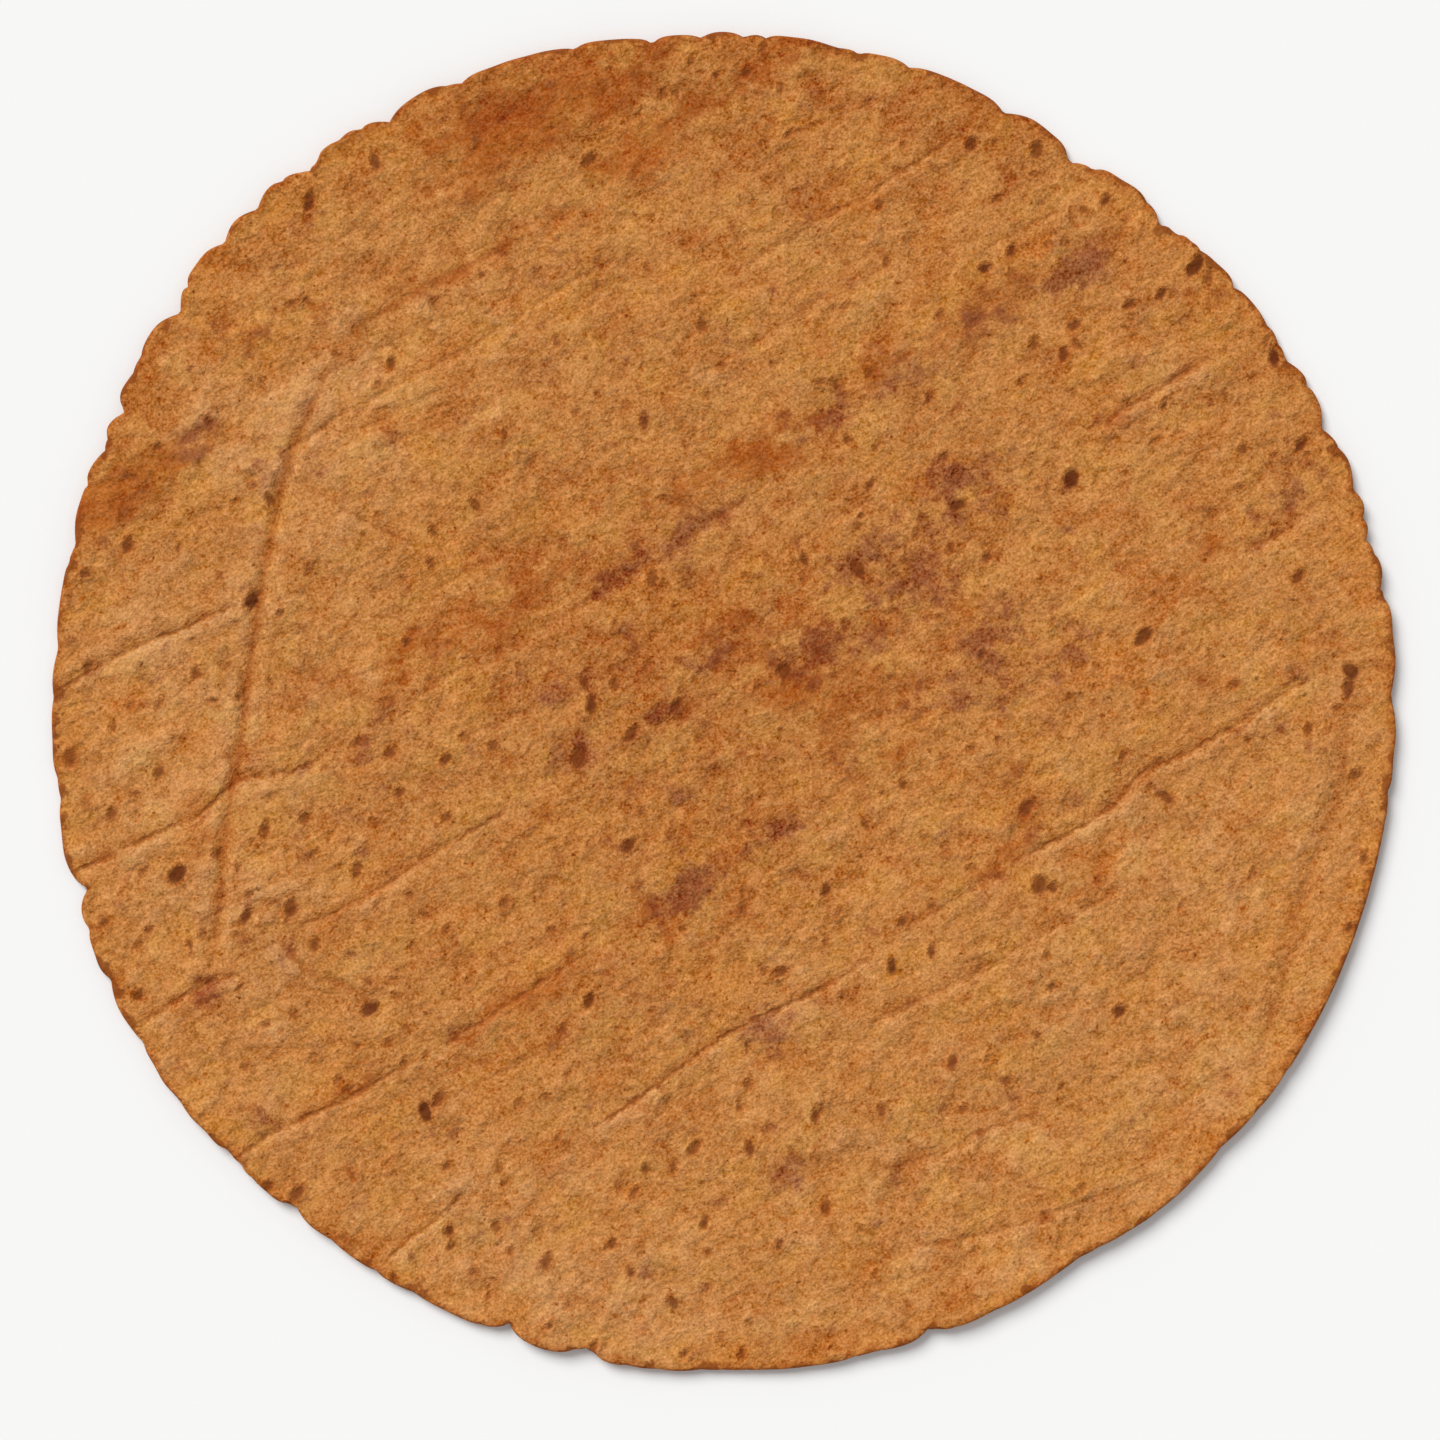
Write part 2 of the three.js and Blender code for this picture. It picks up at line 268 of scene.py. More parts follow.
RED_STAINS = [
    (-113, 40, 9, 5, 1.8), (-105, 46, 9, 3.5, 1.6), (-119, 35, 6, 4, 1.2), (-57, 79, 22, 4, 0.8),
    (-19.5, 102.6, 14, 6, 0.9),
    (-42, 111, 14, 7, 1.5), (-25, 115, 22, 6, 1.3), (2, 117, 18, 4, 1.0), (-4, 41.9, 18, 6, 0.8),
    (8, 46, 10, 4, 0.9), (-46.2, 11.7, 14, 7, 0.9), (-34, 22, 13, 8, 0.8), (-2, 8, 20, 14, 0.5),
    (30, 60, 20, 5, 0.6), (55, 76, 20, 5, 0.7), (14, 6, 22, 12, 0.45), (-8, -36, 14, 7, 0.5),
    (-32, -56, 24, 5, 0.45), (-55, -71, 14, 4, 0.5), (22, 0, 14, 8, 0.8), (48, 14, 18, 9, 0.4),
    (68, -32.8, 8, 5, 0.8), (57, -26.5, 9, 3, 1.0), (-70, 4, 16, 8, 0.3), (36, -62, 12, 3, 0.5),
    (-95, -27, 16, 3, 0.9), (25, -15, 12, 8, 0.5), (-45, -29, 12, 6, 0.3), (-122, -18, 6, 8, 0.8),
    (-88, 68, 12, 5, 0.6), (36, 112, 14, 5, 0.5), (42, 70, 12, 9, 0.5), (-4, 92, 16, 6, 0.3),
    (88, 76, 10, 6, 0.5), (-87, 57, 10, 4, 0.3), (-60, -45, 10, 5, 0.3), (-48, 98, 14, 7, 0.6),
    (92.6, 29, 9, 4, 0.6), (35, -9, 8, 4, 0.6), (-69, -72.5, 9, 4, 0.6), (106, 35.5, 8, 4, 0.5),
    (-38, -54.5, 8, 4, 0.7), (77.5, 89.6, 8, 4, 0.5), (-62, 9, 10, 4, 0.5), (-17, 102, 10, 4, 0.6),
]

# Broad pale and dark patches: place and reach in mm, and how much paler.
PATCHES = [
    (-92, 46, 26, 0.60), (-70, 60, 18, 0.35), (-105, -5, 26, 0.45), (-35, -112, 34, 0.30),
    (-25, -125, 20, 0.25), (95, -72, 34, 0.20), (108, -20, 26, 0.20), (70, -55, 40, 0.10),
    (-48, 84, 26, 0.10), (0, 124, 34, -0.45), (-45, 116, 20, -0.3), (52, 112, 20, -0.7),
    (-108, 62, 14, -0.3), (-78, 96, 22, -0.2), (-5, 8, 32, -0.35), (38, 18, 26, -0.30),
    (-30, 15, 30, -0.40),
    (0, -30, 20, -0.45), (-110, 42.5, 10, -1.1), (-38, 113, 14, -0.3), (98, 60, 28, -0.10),
    (52, 88, 30, 0.10), (-70, -10, 18, -0.15),
    (48, -30, 18, -0.15), (-35, -60, 26, -0.35), (-100, -42, 20, 0.35),
]


def smooth_step(value, low, high):
    """Nothing below low, one above high, and the cubic 3t^2 - 2t^3 between them."""
    part = np.clip((value - low) / (high - low), 0, 1)
    return part * part * (3 - 2 * part)


def turn_between(angle, other):
    """The turn from other to angle, from -180 to 180 degrees."""
    return (angle - other + 180) % 360 - 180


def waves(wave_list, angle):
    """The sum of height * cos(lobes * angle - crest)."""
    return sum(height * np.cos(np.radians(lobes * angle - crest)) for lobes, height, crest in wave_list)


def nicks(angle):
    """The rim's fine unevenness: less depth * exp(-|turn / half width| ^ sharpness) for small nicks
    at random, and cosines of 40 to 119 lobes, both weaker where the rim is smooth, on the lower
    right."""
    draw = np.random.default_rng(11)
    total = np.zeros_like(angle)
    for _ in range(NICKS):
        turn = turn_between(angle, draw.uniform(0, 360))
        depth = draw.uniform(*NICK_DEPTH)
        half = draw.uniform(*NICK_HALF_WIDTH)
        total -= depth * np.exp(-np.abs(turn / half) ** NICK_SHARPNESS)
    for lobes in draw.integers(*FRAY_LOBES, FRAY_WAVES):
        total += FRAY * np.cos(np.radians(lobes * angle + draw.uniform(0, 360)))
    roughness = 0.25 + 0.75 * smooth_step(np.abs(turn_between(angle, SMOOTH_RIM)), 25, 70)
    return roughness * total


def rim_radius(angle):
    """The mean radius and slow waves, less depth * exp(-|turn / half width| ^ sharpness) for each
    dent, with a narrower notch torn in its middle, and the nicks."""
    radius = MEAN_RADIUS + waves(OUTLINE_WAVES, angle) + nicks(angle)
    for at, depth, half in RIM_DENTS:
        turn = np.abs(turn_between(angle, at) / half)
        radius = radius - depth * np.exp(-turn ** DENT_SHARPNESS)
        radius = radius - NOTCH_DEPTH * depth * np.exp(-turn / NOTCH_WIDTH)
    return radius


def along_grain(x, y):
    """A place as its distances along and across the grain."""
    turn = math.radians(GRAIN_TURN)
    return x * math.cos(turn) + y * math.sin(turn), y * math.cos(turn) - x * math.sin(turn)


def ripples(x, y, length, seed, stretch=1.4, count=60):
    """Random ripples of unit spread: the sum of cosines of random direction and phase whose wave
    lengths lie near length, drawn out along the grain by stretch."""
    draw = np.random.default_rng(seed)
    along, across = along_grain(x, y)
    total = np.zeros_like(x)
    for _ in range(count):
        turn = draw.uniform(0, 2 * math.pi)
        pace = 2 * math.pi / (length * draw.uniform(0.75, 1.35))
        phase = draw.uniform(0, 2 * math.pi)
        total += np.cos(pace * (math.cos(turn) * along / stretch + math.sin(turn) * across) + phase)
    return total * math.sqrt(2 / count)


def smooth_path(points, steps=6):
    """The Catmull-Rom curve through the points: each span is the cubic whose slopes at its ends are
    half the step between their neighbours."""
    known = np.array(points, float)
    known = np.vstack([2 * known[0] - known[1], known, 2 * known[-1] - known[-2]])
    part = np.linspace(0, 1, steps, endpoint=False)[:, None]
    spans = []
    for before, start, end, after in zip(known[:-3], known[1:-2], known[2:-1], known[3:]):
        spans.append(0.5 * (
            2 * start
            + (end - before) * part
            + (2 * before - 5 * start + 4 * end - after) * part ** 2
            + (3 * start - before - 3 * end + after) * part ** 3
        ))
    return np.vstack(spans + [known[-2:-1]])


def beside_path(path, x, y):
    """The signed distance from a path, positive on its right, and the part of its length passed,
    both taken at the path's nearest segment."""
    steps = np.diff(path, axis=0)
    lengths = np.hypot(steps[:, 0], steps[:, 1])
    passed = np.concatenate([[0], np.cumsum(lengths)])
    gap = np.full(x.shape, np.inf)
    side = np.ones_like(x)
    part = np.zeros_like(x)
    for start, step, length, before in zip(path, steps, lengths, passed):
        dx, dy = x - start[0], y - start[1]
        along = np.clip((dx * step[0] + dy * step[1]) / length ** 2, 0, 1)
        distance = np.hypot(dx - along * step[0], dy - along * step[1])
        nearer = distance < gap
        gap = np.where(nearer, distance, gap)
        side = np.where(nearer, np.where(dx * step[1] > dy * step[0], 1.0, -1.0), side)
        part = np.where(nearer, (before + along * length) / passed[-1], part)
    return gap * side, part


def random_place(draw, reach):
    """A random place within reach of the middle, evenly spread: the radius is reach * sqrt(part)."""
    radius = reach * math.sqrt(draw.uniform())
    angle = draw.uniform(0, 2 * math.pi)
    return radius * math.cos(angle), radius * math.sin(angle)


def faint_folds():
    """Short faint folds along the grain, at random places, with a slight random bend. What would
    pass the rim is left out."""
    draw = np.random.default_rng(5)
    middle_margin, end_margin = FAINT_FOLD_MARGINS
    folds = []
    for _ in range(FAINT_FOLDS):
        middle = np.array(random_place(draw, MEAN_RADIUS - middle_margin))
        length = draw.uniform(*FAINT_FOLD_LENGTH)
        turn = math.radians(GRAIN_TURN + draw.normal(0, 5))
        ahead = np.array([math.cos(turn), math.sin(turn)])
        aside = np.array([-ahead[1], ahead[0]])
        points = [
            middle + ahead * length * at + aside * draw.normal(0, FAINT_FOLD_BEND)
            for at in (-0.5, -0.17, 0.17, 0.5)
        ]
        points = [point for point in points if math.hypot(*point) < MEAN_RADIUS - end_margin]
        if len(points) > 1:
            depth = draw.uniform(*FAINT_FOLD_DEPTH)
            lip = draw.uniform(*FAINT_FOLD_LIP)
            stain = draw.uniform(*FAINT_FOLD_STAIN_AND_SHADE)
            folds.append(Fold(points, depth, lip, stain))
    return folds


def fold_marks(folds, x, y):
    """What folds do to the sheet: the height of troughs and lips, and for the fold that is felt most
    the signed distance from it and its strength. A trough is -depth * exp(-(distance / width)^2), and
    a lip is height * exp(-((distance - lip's place) / lip's width)^2) on either side."""
    height = np.zeros_like(x)
    across = np.full(x.shape, FOLD_REACH)
    strength = np.zeros_like(x)
    for fold in folds:
        path = smooth_path(fold.points)
        low, high = path.min(axis=0) - FOLD_REACH, path.max(axis=0) + FOLD_REACH
        near = np.flatnonzero((x > low[0]) & (x < high[0]) & (y > low[1]) & (y < high[1]))
        distance, part = beside_path(path, x[near], y[near])
        taper = smooth_step(part, 0.0, FOLD_TAPER) * smooth_step(1 - part, 0.0, FOLD_TAPER)
        taper = taper * smooth_step(FOLD_REACH - np.abs(distance), 0, 2.5)
        width = fold.width
        trough = -fold.depth * np.exp(-(distance / width) ** 2)
        lip_at, lip_width = LIP_PLACE * width, LIP_WIDTH * width
        right_lip = fold.lip * np.exp(-((distance - lip_at) / lip_width) ** 2)
        left_lip = fold.lip / LEFT_LIP * np.exp(-((distance + lip_at) / lip_width) ** 2)
        height[near] += taper * (trough + right_lip + left_lip)
        felt = taper * fold.stain * smooth_step(STAIN_AND_SHADE_REACH - np.abs(distance), 0, 1.0)
        stronger = felt > strength[near]
        across[near] = np.where(stronger, distance, across[near])
        strength[near] = np.where(stronger, felt, strength[near])
    return height, across, strength


def stain_marks(stains, x, y):
    """The sum of strength * exp(-(along / length)^2 - (across / width)^2) over the stains."""
    along, across = along_grain(x, y)
    total = np.zeros_like(x)
    for at_x, at_y, length, width, strength in stains:
        mid_along, mid_across = along_grain(at_x, at_y)
        away = ((along - mid_along) / length) ** 2 + ((across - mid_across) / width) ** 2
        total += strength * np.exp(-away)
    return total


def paleness(x, y):
    """How pale the dough is: a slow rise towards -Y, and amount * exp(-(distance / reach)^2) for each
    patch."""
    tone = -PALER_DOWNWARDS * y
    for at_x, at_y, reach, amount in PATCHES:
        tone = tone + amount * np.exp(-((x - at_x) ** 2 + (y - at_y) ** 2) / reach ** 2)
    return tone


def all_flecks():
    """The placed flecks, then smaller ones at random, each with a random stretch, turn and shade."""
    draw = np.random.default_rng(23)
    flecks = []
    for at_x, at_y, size in FLECKS:
        shade = draw.uniform(0.0, 0.7) + 0.6 * (1.1 - size)
        stretch = draw.uniform(1.1, 1.5)
        turn = draw.normal(72, 22)
        flecks.append((at_x, at_y, size, stretch, turn, shade))
    for _ in range(OTHER_FLECKS):
        at_x, at_y = random_place(draw, MEAN_RADIUS - MARK_MARGIN)
        size = draw.uniform(*OTHER_FLECK_RADIUS)
        stretch = draw.uniform(1.0, 1.5)
        turn = draw.uniform(0, 180)
        shade = draw.uniform(0.5, 1.2)
        flecks.append((at_x, at_y, size, stretch, turn, shade))
    return flecks


def fleck_marks(x, y):
    """The distance in mm from the edge of the nearest fleck, less inside it: each fleck is an ellipse
    of its radius, and the distance is (length of the offset in radii - 1) * radius. Also the nearest
    fleck's shade, and the shallow pits that they sit in."""
    gap = np.full(x.shape, FLECK_REACH)
    shade = np.zeros_like(x)
    pit = np.zeros_like(x)
    for at_x, at_y, radius, stretch, turn, dark in all_flecks():
        near = np.flatnonzero((np.abs(x - at_x) < FLECK_BOX) & (np.abs(y - at_y) < FLECK_BOX))
        dx, dy = x[near] - at_x, y[near] - at_y
        cos, sin = math.cos(math.radians(turn)), math.sin(math.radians(turn))
        u = (dx * cos + dy * sin) / (radius * stretch)
        v = (dy * cos - dx * sin) / (radius / stretch)
        pit[near] -= FLECK_PIT * radius * np.exp(-(u ** 2 + v ** 2) / 1.4)
        distance = (np.hypot(u, v) - 1) * radius
        nearer = distance < gap[near]
        gap[near] = np.where(nearer, distance, gap[near])
        shade[near] = np.where(nearer, dark, shade[near])
    return gap, shade, pit


def blisters(x, y):
    """Low domes height * (1 - (d / radius)^2)^roundness at random places, a little longer along the
    grain, more of them towards the lower left, with their outlines shaken by ripples."""
    draw = np.random.default_rng(31)
    along, across = along_grain(x, y)
    along = along + 0.9 * ripples(x, y, 7.0, 51)
    across = across + 0.7 * ripples(x, y, 7.0, 52)
    height = np.zeros_like(x)
    for _ in range(BLISTERS):
        radius = (MEAN_RADIUS - MARK_MARGIN) * math.sqrt(draw.uniform())
        angle = draw.choice([draw.uniform(0, 2 * math.pi), draw.normal(math.radians(-115), 0.7)])
        mid_along, mid_across = along_grain(radius * math.cos(angle), radius * math.sin(angle))
        size = draw.uniform(*BLISTER_RADIUS)
        rise = draw.uniform(*BLISTER_RISE) * size
        stretch = draw.uniform(0.8, 1.8)
        away = ((along - mid_along) / (size * stretch)) ** 2 + ((across - mid_across) / size) ** 2
        height += rise * np.clip(1 - away, 0, None) ** BLISTER_ROUNDNESS
    return height


def crumple(x, y):
    """Short crinkles: the valleys of a rippled sheet, 1 - |r| / 0.6 where that is above nothing, in
    patches that broader ripples pick out."""
    valleys = np.clip(1 - np.abs(ripples(x, y, 10.0, 41, stretch=1.7)) / 0.6, 0, None)
    where = smooth_step(ripples(x, y, 26.0, 42), -0.8, 1.0)
    return valleys * where


def face_relief(x, y):
    """Everything that stands up from or sinks into the face of the sheet, and its marks."""
    fold_height, fold_across, fold_strength = fold_marks(FOLDS + faint_folds(), x, y)
    groove_height, groove_across, groove_strength = fold_marks(GROOVES, x, y)
    fleck_gap, fleck_shade, pit = fleck_marks(x, y)
    height = fold_height + groove_height + pit + blisters(x, y)
    for rise, length, seed, stretch in RIPPLES:
        height += rise * ripples(x, y, length, seed, stretch)
    height -= CRUMPLE_DEPTH * crumple(x, y)
    marks = {
        # Where the nearest fold and groove lie and how strongly they are marked: the material browns them
        # and paints shade along their troughs and a highlight on the folds' lips.
        "fold_across": fold_across,
        "fold_strength": fold_strength,
        "groove_across": groove_across,
        "groove_strength": groove_strength,
        "fleck_gap": fleck_gap,
        "fleck_shade": fleck_shade,
        "purple_stain": stain_marks(PURPLE_STAINS, x, y),
        "red_stain": stain_marks(RED_STAINS, x, y),
        "paleness": paleness(x, y),
        # The relief's height, which the material also reads to paint raised places paler and hollows
        # browner.
        "relief": height,
    }
    return height, marks


def underside_height(face):
    """The height of the underside: nothing over the flat middle and a smooth rise to the rim's lift,
    plus slow undulations of the whole limp sheet, which come down to nothing at their lowest."""
    out = np.clip((face.radius - FLAT_RADIUS) / (MEAN_RADIUS - FLAT_RADIUS), 0, None)
    lift = out * out * (RIM_LIFT + waves(LIFT_WAVES, face.angle))
    slow = sum(
        rise * ripples(face.x, face.y, length, seed, UNDULATION_STRETCH)
        for rise, length, seed in UNDULATIONS
    )
    return lift + np.clip(slow + UNDULATION_RAISE, 0, None)


def thickness(inward):
    """Full in the middle, and thinning smoothly towards the rim, by the distance in from it."""
    return RIM_THICKNESS + (MIDDLE_THICKNESS - RIM_THICKNESS) * smooth_step(inward, 0, RIM_BAND)


def square_to_disc(cells):
    """A grid over the square from -1 to 1 and its even map onto the disc: the larger coordinate is the
    radius, and the smaller over the larger is the angle, as a part of an eighth of a turn."""
    line = np.linspace(-1, 1, cells + 1)
    u, v = (side.ravel() for side in np.meshgrid(line, line))
    wide = np.abs(u) >= np.abs(v)
    radius = np.where(wide, np.abs(u), np.abs(v))
    larger = np.where(wide, u, v)
    larger = np.where(larger == 0, 1.0, larger)
    lean = 45 * np.where(wide, v, u) / larger
    angle = np.where(wide, np.where(u >= 0, 0, 180) + lean, np.where(v >= 0, 90, 270) - lean)
    return u, v, radius, angle


def grid_faces(cells, first):
    """The squares of a grid, anticlockwise from above, as vertex numbers counted from first. Each
    starts at a corner from which its diagonal points to or from the middle of the grid, because the
    disc bends the squares along its own diagonals, and the other diagonal would leave a sliver."""
    across = np.arange(cells)
    corner = (first + across[None, :] + (cells + 1) * across[:, None]).ravel()
    squares = np.stack([corner, corner + 1, corner + cells + 2, corner + cells + 1], axis=1)
    side = 2 * across - (cells - 1)
    falling = (side[None, :] * side[:, None] < 0).ravel()
    squares[falling] = np.roll(squares[falling], -1, axis=1)
    return squares


FACING_DOWN = [0, 3, 2, 1]      # the order that turns a square over and keeps its first corner


def grid_border(cells, first):
    """The vertices round a grid, anticlockwise from its lower right corner."""
    run = np.arange(cells)
    side = cells + 1
    right = cells + run * side
    top = cells * side + (cells - run)
    left = (cells - run) * side
    return first + np.concatenate([right, top, left, run])


# The bake's map: the top face fills a square, the rim frames it, and the underside has a strip.
MAP_TOP_MIDDLE = (0.372, 0.372)
MAP_TOP_HALF = (0.352, 0.352)
MAP_UNDER_MIDDLE = (0.872, 0.5)
MAP_UNDER_HALF = (0.12, 0.49)
MAP_RING = 0.0075       # how much wider each ring of the rim is than the last, as a part


def map_place(u, v, middle, half):
    """A place on the bake's map: the middle plus half times the square's coordinates."""
    return np.stack([middle[0] + half[0] * u, middle[1] + half[1] * v], axis=1)


# A grid spread over the sheet, as arrays: the square's coordinates, radius and angle, place in mm, how
# far in from the start of the rounded rim, and the radius of that start.
Face = namedtuple("Face", "u v radius angle x y inward edge_radius")

# One ring of the rounded rim: its places, its places on the bake's map, and its marks.
Ring = namedtuple("Ring", "places on_map marks")


def spread_face(cells):
    """A square grid of cells spread over the sheet, out to where its rounded rim starts."""
    u, v, part, angle = square_to_disc(cells)
    edge_radius = rim_radius(angle) - RIM_ROUNDNESS
    radius = part * edge_radius
    x, y = radius * np.cos(np.radians(angle)), radius * np.sin(np.radians(angle))
    return Face(u, v, radius, angle, x, y, edge_radius - radius, edge_radius)


def top_surface(face):
    """The top's height, which is the underside's, the thickness and the relief, and its marks."""
    relief, marks = face_relief(face.x, face.y)
    settle = TOP_RIM_RELIEF + (1 - TOP_RIM_RELIEF) * smooth_step(face.inward, 0, SETTLE_BAND)
    height = underside_height(face) + thickness(face.inward) + relief * settle
    marks["rim_depth"] = face.inward + RIM_ROUNDNESS
    return height, marks


def under_surface(face):
    """The underside's height, never below nothing, and its marks, which are the top's, mirrored and
    turned."""
    turn = math.radians(UNDERSIDE_TURN)
    turned_x = -face.x * math.cos(turn) - face.y * math.sin(turn)
    turned_y = face.y * math.cos(turn) - face.x * math.sin(turn)
    relief, marks = face_relief(turned_x, turned_y)
    settle = UNDER_RELIEF * smooth_step(face.inward, 0, SETTLE_BAND)
    height = np.clip(underside_height(face) - relief * settle, 0, None)
    marks["rim_depth"] = face.inward + RIM_ROUNDNESS
    return height, marks


def rim_rings(face, border, rim_top, rim_low, marks):
    """The rings of the rounded rim, from the top's border down: at turn t they stand at
    radius + roundness * cos t and at middle + half * sin t. They carry the border's marks, with their
    own depth of roundness * (1 - cos t)."""
    cos, sin = np.cos(np.radians(face.angle[border])), np.sin(np.radians(face.angle[border]))
    rings = []
    for step in range(1, EDGE_STEPS):
        turn = math.pi * (0.5 - step / EDGE_STEPS)
        radius = face.edge_radius[border] + RIM_ROUNDNESS * math.cos(turn)
        height = (rim_top + rim_low) / 2 + (rim_top - rim_low) / 2 * math.sin(turn)
        places = np.stack([radius * cos, radius * sin, height], axis=1)
        grow = 1 + MAP_RING * step
        on_map = map_place(face.u[border] * grow, face.v[border] * grow, MAP_TOP_MIDDLE, MAP_TOP_HALF)
        ring_marks = {name: values[border] for name, values in marks.items()}
        ring_marks["rim_depth"] = np.full(len(border), RIM_ROUNDNESS * (1 - math.cos(turn)))
        rings.append(Ring(places, on_map, ring_marks))
    return rings


def ring_faces(border, first):
    """The squares from the top's border through each ring of the rim, whose vertices are counted from
    first, and the vertices of the last ring."""
    faces = []
    before = border
    for step in range(EDGE_STEPS - 1):
        ring = first + step * len(border) + np.arange(len(border))
        faces.append(np.stack([before, ring, np.roll(ring, -1), np.roll(before, -1)], axis=1))
        before = ring
    return faces, before


def join_faces(last_ring, under_border):
    """The triangles from the rim's last ring to the underside's border, which has half as many
    vertices."""
    first, middle, last = last_ring[::2], last_ring[1::2], np.roll(last_ring[::2], -1)
    under_next = np.roll(under_border, -1)
    return np.vstack([
        np.stack([first, under_border, middle], axis=1),
        np.stack([middle, under_border, under_next], axis=1),
        np.stack([middle, under_next, last], axis=1),
    ])


def sheet_arrays():
    """The closed sheet as arrays: places, marks, faces, and each face corner's place on the bake's
    map. The top is a fine grid, the underside has half as many cells, and the rim's rings join them."""
    face, under_face = spread_face(TOP_CELLS), spread_face(TOP_CELLS // 2)
    top, marks = top_surface(face)
    under, under_marks = under_surface(under_face)
    border = grid_border(TOP_CELLS, 0)
    under_first = len(top) + (EDGE_STEPS - 1) * len(border)
    under_border = grid_border(TOP_CELLS // 2, under_first)
    spots = np.arange(len(border))
    rim_low = np.interp(spots, spots[::2], under[under_border - under_first], period=len(border))
    rings = rim_rings(face, border, top[border], rim_low, marks)

    places = np.vstack([
        np.stack([face.x, face.y, top], axis=1),
        *(ring.places for ring in rings),
        np.stack([under_face.x, under_face.y, under], axis=1),
    ])
    outline_low, outline_high = places[:, :2].min(axis=0), places[:, :2].max(axis=0)
    places[:, :2] -= (outline_low + outline_high) / 2
    all_marks = {}
    for name, values in marks.items():
        parts = [values, *(ring.marks[name] for ring in rings), under_marks[name]]
        all_marks[name] = np.concatenate(parts)

    faces_of_rings, last_ring = ring_faces(border, len(top))
    upper_faces = np.vstack([grid_faces(TOP_CELLS, 0), *faces_of_rings])
    joins = join_faces(last_ring, under_border)
    under_faces = grid_faces(TOP_CELLS // 2, under_first)[:, FACING_DOWN]

    # The last ring has two places on the map: one beside the rim's rings, one beside the underside.
    upper_map = np.vstack([
        map_place(face.u, face.v, MAP_TOP_MIDDLE, MAP_TOP_HALF),
        *(ring.on_map for ring in rings),
        map_place(under_face.u, -under_face.v, MAP_UNDER_MIDDLE, MAP_UNDER_HALF),
    ])
    under_map = upper_map.copy()
    grow = 1 + MAP_RING
    on_map = map_place(face.u[border] * grow, -face.v[border] * grow, MAP_UNDER_MIDDLE, MAP_UNDER_HALF)
    under_map[last_ring] = on_map
    under_loops = np.concatenate([joins.ravel(), under_faces.ravel()])
    corner_places = np.vstack([upper_map[upper_faces.ravel()], under_map[under_loops]])
    return places, all_marks, [upper_faces, joins, under_faces], corner_places


def make_sheet():
    """The tortilla as one mesh, with its marks as attributes and its map for the bake."""
    places, marks, face_groups, corner_places = sheet_arrays()
    packed_low, packed_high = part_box("tortilla")
    middle = (packed_low + packed_high) / 2
    places = places * MM + np.array([middle.x, middle.y, 0])
    faces = [face for group in face_groups for face in group.tolist()]
    mesh = bpy.data.meshes.new("tortilla_sheet")
    mesh.from_pydata(places, [], faces)
    for name, values in marks.items():
        mesh.attributes.new(name, "FLOAT", "POINT").data.foreach_set("value", values.astype(np.float32))
    bake_map = mesh.uv_layers.new(name="OFBake")
    bake_map.data.foreach_set("uv", corner_places.astype(np.float32).ravel())
    mesh.polygons.foreach_set("use_smooth", np.ones(len(faces), bool))
    mesh.update()
    sheet = bpy.data.objects.new("tortilla_sheet", mesh)
    bpy.context.collection.objects.link(sheet)
    return sheet


# ---------------------------------------------------------------- the dough's finish


class Wire:
    """A socket of a material. Arithmetic on it adds Math nodes and gives the wire of the result."""

    def __init__(self, tree, socket):
        self.tree = tree
        self.socket = socket

    def node(self, kind, settings=None, inputs=None, output=0):
        """Adds a node, with its settings first and then its sockets' values or wires."""
        made = self.tree.nodes.new(kind)
        for name, value in (settings or {}).items():
            setattr(made, name, value)
        for name, value in (inputs or {}).items():
            if isinstance(value, Wire):
                self.tree.links.new(value.socket, made.inputs[name])
            else:
                made.inputs[name].default_value = value
        return None if output is None else Wire(self.tree, made.outputs[output])

    def math(self, operation, *values):
        return self.node("ShaderNodeMath", {"operation": operation}, dict(enumerate(values)))

    def __add__(self, other):
        return self.math("ADD", self, other)

    def __radd__(self, other):
        return self.math("ADD", other, self)

    def __sub__(self, other):
        return self.math("SUBTRACT", self, other)

    def __rsub__(self, other):
        return self.math("SUBTRACT", other, self)

    def __mul__(self, other):
        return self.math("MULTIPLY", self, other)

    def __rmul__(self, other):
        return self.math("MULTIPLY", other, self)

    def __abs__(self):
        return self.math("ABSOLUTE", self)

    def bell(self, width):
        """exp(-(value / width)^2)."""
        power = self * self * (-1 / width ** 2)
        return power.math("EXPONENT", power)

    def between(self, low, high):
        """Nothing at low and one at high, with a smooth step between; low may be the larger."""
        return self.node(
            "ShaderNodeMapRange",
            {"interpolation_type": "SMOOTHSTEP"},
            {"Value": self, "From Min": low, "From Max": high, "To Min": 0.0, "To Max": 1.0},
        )

    def limited(self, low=0.0, high=1.0):
        return self.node("ShaderNodeClamp", {}, {"Value": self, "Min": low, "Max": high})

    def vector(self, operation, *values):
        return self.node("ShaderNodeVectorMath", {"operation": operation}, dict(enumerate(values)))

    def scaled(self, factor):
        """A vector or colour times a number."""
        return self.node("ShaderNodeVectorMath", {"operation": "SCALE"}, {0: self, "Scale": factor})

    def mark(self, name):
        """One of the sheet's marks, by its attribute's name."""
        return self.node("ShaderNodeAttribute", {"attribute_name": name}, output="Fac")


def colour(red, green, blue):
    """A linear colour from its display values of 0 to 255."""
    linear = []
    for level in (red / 255, green / 255, blue / 255):
        linear.append(level / 12.92 if level <= 0.04045 else ((level + 0.055) / 1.055) ** 2.4)
    return (*linear, 1.0)


def blended(base, over, amount):
    """The base colour with another laid over it by an amount of 0 to 1."""
    inputs = {0: amount, 6: base, 7: over}
    return amount.node("ShaderNodeMix", {"data_type": "RGBA"}, inputs, output=2)


